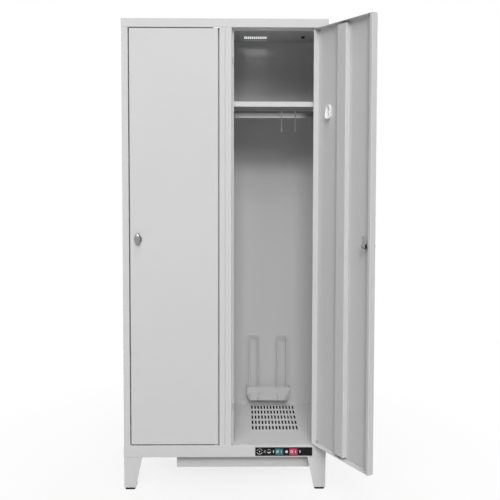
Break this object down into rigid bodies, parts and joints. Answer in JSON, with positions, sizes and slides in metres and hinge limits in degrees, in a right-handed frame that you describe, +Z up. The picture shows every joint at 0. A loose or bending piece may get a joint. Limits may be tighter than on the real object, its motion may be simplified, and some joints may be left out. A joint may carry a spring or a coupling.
{
  "type": "drying cabinet",
  "caption": "Tall sheet-steel drying cabinet with hinged doors, hanging rail, shelf, boot loops and a heater and fan box under the body, on tapered legs.",
  "frame": {"origin": "on the floor, in the middle of the four glides, under the middle of the body", "axes": "+X to the right seen from the front, +Y towards the back wall, +Z up"},
  "size_m": [0.9409, 0.7945, 1.85],
  "materials": {
    "grey_enamel": "satin",
    "white_enamel": "satin",
    "zinc_steel": "satin",
    "wire_steel": "satin",
    "chrome": "polished",
    "heater_steel": "matt",
    "black_enamel": "matt",
    "black_plastic": "matt",
    "white_plastic": "gloss",
    "green_plastic": "gloss",
    "red_plastic": "gloss",
    "lamp_lens": "gloss",
    "rubber": "matt"
  },
  "bodies": {
    "cabinet": {"base_pan": "grey_enamel", "side_left": "grey_enamel", "side_right": "grey_enamel", "partition_left": "grey_enamel", "partition_right": "grey_enamel", "back_wall": "grey_enamel", "roof": "grey_enamel", "floor_left": "grey_enamel", "floor_right": "grey_enamel", "shelf_left": "grey_enamel", "shelf_right": "grey_enamel", "shelf_brackets": "zinc_steel", "hanging_rail_left": "chrome", "hanging_rail_right": "chrome", "rail_sockets": "chrome", "leg_front_left": "grey_enamel", "leg_front_right": "grey_enamel", "leg_back_left": "grey_enamel", "leg_back_right": "grey_enamel", "glides": "black_plastic", "boot_bracket_left": "white_enamel", "boot_bracket_right": "white_enamel", "boot_loops_left": "white_enamel", "boot_loops_right": "white_enamel", "vent_frame_left": "grey_enamel", "vent_frame_right": "grey_enamel", "overheat_sensors": "black_plastic", "lower_pivots": "zinc_steel", "upper_pivots": "zinc_steel", "door_buffers": "rubber", "fan_box": "grey_enamel", "fan_frame_left": "black_plastic", "fan_frame_right": "black_plastic", "heater_left": "heater_steel", "heater_right": "heater_steel", "control_box": "black_plastic", "control_strip": "black_plastic", "indicator_lamp": "lamp_lens", "cable_gland": "black_plastic", "air_ducts": "black_enamel"},
    "left_door": {"door_left": "grey_enamel", "stiffener_left": "grey_enamel", "coat_hook_left": "white_plastic", "latch_barrel_left": "chrome"},
    "right_door": {"door_right": "grey_enamel", "stiffener_right": "grey_enamel", "coat_hook_right": "white_plastic", "latch_barrel_right": "chrome"},
    "left_latch": {"latch_knob_left": "chrome", "latch_cam_left": "zinc_steel"},
    "right_latch": {"latch_knob_right": "chrome", "latch_cam_right": "zinc_steel"},
    "green_switch": {"green_rocker": "green_plastic"},
    "red_switch": {"red_rocker": "red_plastic"},
    "left_fan": {"fan_rotor_left": "black_plastic"},
    "right_fan": {"fan_rotor_right": "black_plastic"},
    "hook_1": {"rail_hook_1": "wire_steel"},
    "hook_2": {"rail_hook_2": "wire_steel"},
    "hook_3": {"rail_hook_3": "wire_steel"},
    "hook_4": {"rail_hook_4": "wire_steel"}
  },
  "joints": [
    {"name": "left_door_hinge", "type": "hinge", "parent": "cabinet", "child": "left_door", "pos_m": [-0.0355, -0.246, 0.998], "axis": [0, 0, 1], "range_deg": [0, 124]},
    {"name": "right_door_hinge", "type": "hinge", "parent": "cabinet", "child": "right_door", "pos_m": [0.3645, -0.246, 0.998], "axis": [0, 0, 1], "range_deg": [-120, 4]},
    {"name": "left_latch_turn", "type": "hinge", "parent": "left_door", "child": "left_latch", "pos_m": [-0.3385, -0.25, 0.998], "axis": [0, -1, 0], "range_deg": [0, 90]},
    {"name": "right_latch_turn", "type": "hinge", "parent": "right_door", "child": "right_latch", "pos_m": [0.51946, -0.50641, 0.998], "axis": [0.866, 0.5, 0], "range_deg": [0, 90]},
    {"name": "green_switch_tip", "type": "hinge", "parent": "cabinet", "child": "green_switch", "pos_m": [0.216, -0.2457, 0.154], "axis": [0, 0, 1], "range_deg": [0, 12]},
    {"name": "red_switch_tip", "type": "hinge", "parent": "cabinet", "child": "red_switch", "pos_m": [0.272, -0.2457, 0.154], "axis": [0, 0, 1], "range_deg": [0, 12]},
    {"name": "left_fan_spin", "type": "hinge", "parent": "cabinet", "child": "left_fan", "pos_m": [-0.11, 0.07, 0.119], "axis": [0, 0, 1], "continuous": true},
    {"name": "right_fan_spin", "type": "hinge", "parent": "cabinet", "child": "right_fan", "pos_m": [0.206, 0.07, 0.119], "axis": [0, 0, 1], "continuous": true},
    {"name": "hook_1_slide", "type": "slide", "parent": "cabinet", "child": "hook_1", "axis": [1, 0, 0], "range_m": [-0.15, 0.02]},
    {"name": "hook_2_slide", "type": "slide", "parent": "cabinet", "child": "hook_2", "axis": [1, 0, 0], "range_m": [-0.02, 0.06]},
    {"name": "hook_3_slide", "type": "slide", "parent": "cabinet", "child": "hook_3", "axis": [1, 0, 0], "range_m": [-0.15, 0.02]},
    {"name": "hook_4_slide", "type": "slide", "parent": "cabinet", "child": "hook_4", "axis": [1, 0, 0], "range_m": [-0.02, 0.06]}
  ]
}
